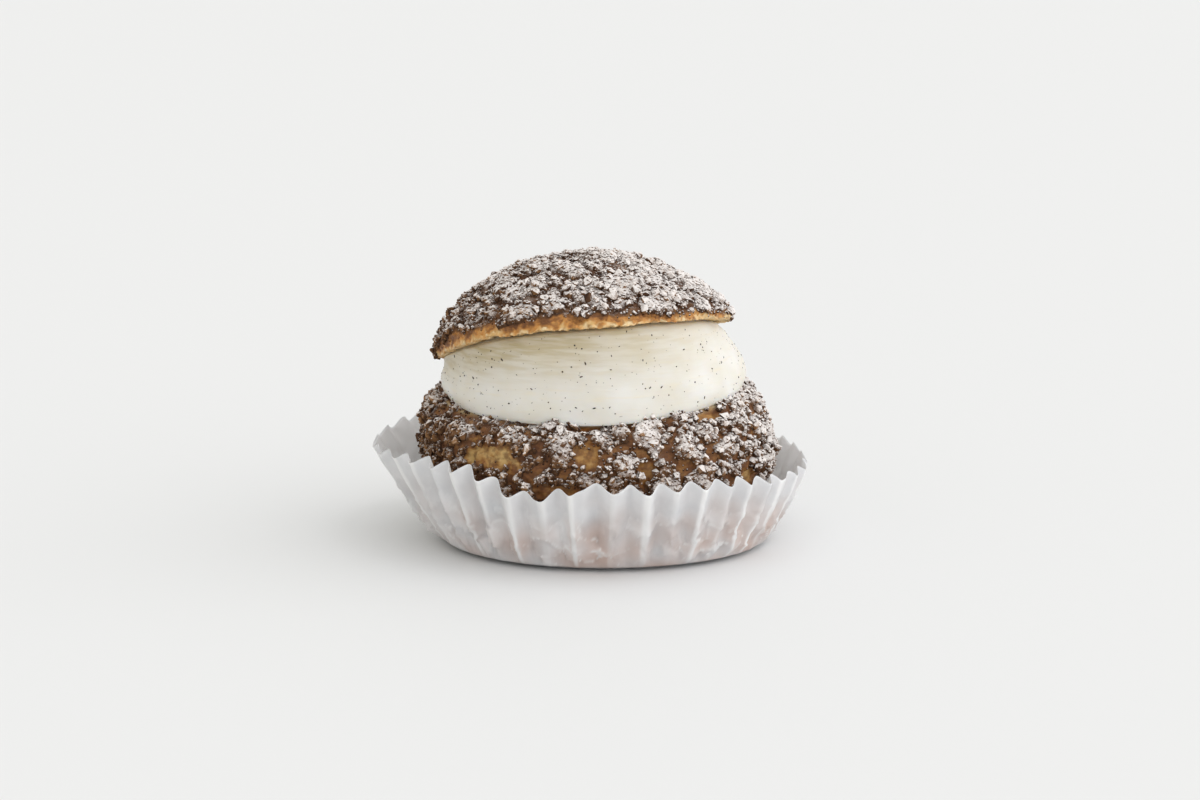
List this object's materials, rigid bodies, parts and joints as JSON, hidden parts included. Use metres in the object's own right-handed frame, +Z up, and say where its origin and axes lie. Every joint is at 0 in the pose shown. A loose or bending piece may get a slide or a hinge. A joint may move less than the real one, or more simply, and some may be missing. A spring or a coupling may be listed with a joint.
{
  "type": "cream puff",
  "caption": "Crackle-topped choux bun, sliced and filled with whipped vanilla cream, its lid set on at a tilt, standing in a flared fluted paper case.",
  "frame": {"origin": "on the surface the paper case stands on, under the middle of the whole object's bounding box", "axes": "+Z up; -Y is the open front where the lid gapes and most cream shows; +X to the right of someone facing that front"},
  "size_m": [0.104, 0.0996, 0.0695],
  "materials": {
    "baking_paper": "matte greaseproof paper",
    "choux_crust": "dry crackled crust, dusted with icing sugar",
    "whipped_cream": "smooth soft cream with dark vanilla seeds"
  },
  "bodies": {
    "root": {"paper_case": "baking_paper", "choux_base": "choux_crust", "vanilla_cream": "whipped_cream", "choux_lid": "choux_crust"}
  },
  "joints": []
}
